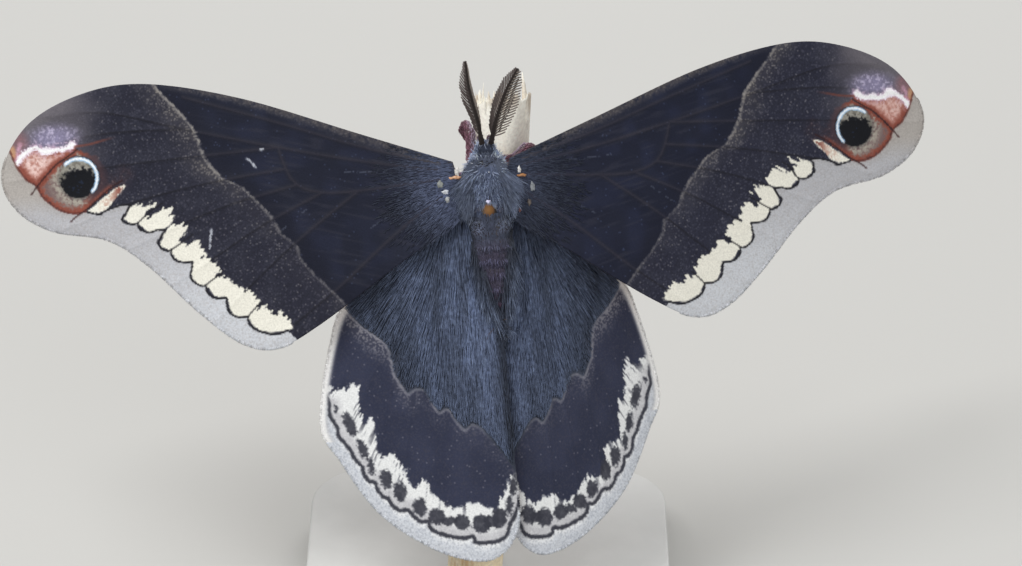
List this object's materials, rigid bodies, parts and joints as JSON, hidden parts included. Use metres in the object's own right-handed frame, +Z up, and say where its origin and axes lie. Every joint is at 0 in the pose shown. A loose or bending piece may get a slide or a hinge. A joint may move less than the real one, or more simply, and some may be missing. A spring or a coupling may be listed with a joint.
{
  "type": "promethea silkmoth model",
  "caption": "Life-size still model of a male promethea silkmoth, wings spread, gripping a short peeled stick on a plain flat display stand.",
  "frame": {"origin": "middle of the stand base's flat underside", "axes": "+Z up, -Y towards the front, from which the moth's back and wings are seen, +X towards the moth's right wing"},
  "size_m": [0.0902, 0.0433, 0.0575],
  "materials": {
    "fur": "soft slate hair",
    "wing_scales": "fine matt scales in black, brown, grey and cream",
    "abdomen_fur": "short maroon hair",
    "eye": "glossy compound eye",
    "antenna": "fine brown comb teeth",
    "leg": "pink-maroon scales",
    "stick": "peeled pale wood",
    "stand": "satin pale grey"
  },
  "bodies": {
    "root": {"thorax": "fur", "head": "fur", "eye_left": "eye", "eye_right": "eye", "abdomen": "abdomen_fur", "antenna_left": "antenna", "antenna_right": "antenna", "forewing_left": "wing_scales", "forewing_right": "wing_scales", "hindwing_left": "wing_scales", "hindwing_right": "wing_scales", "leg_fore_left": "leg", "leg_fore_right": "leg", "leg_mid_left": "leg", "leg_mid_right": "leg", "leg_hind_left": "leg", "leg_hind_right": "leg", "stick": "stick", "stand_base": "stand", "stand_rod_front": "stand", "stand_rod_back": "stand"}
  },
  "joints": []
}
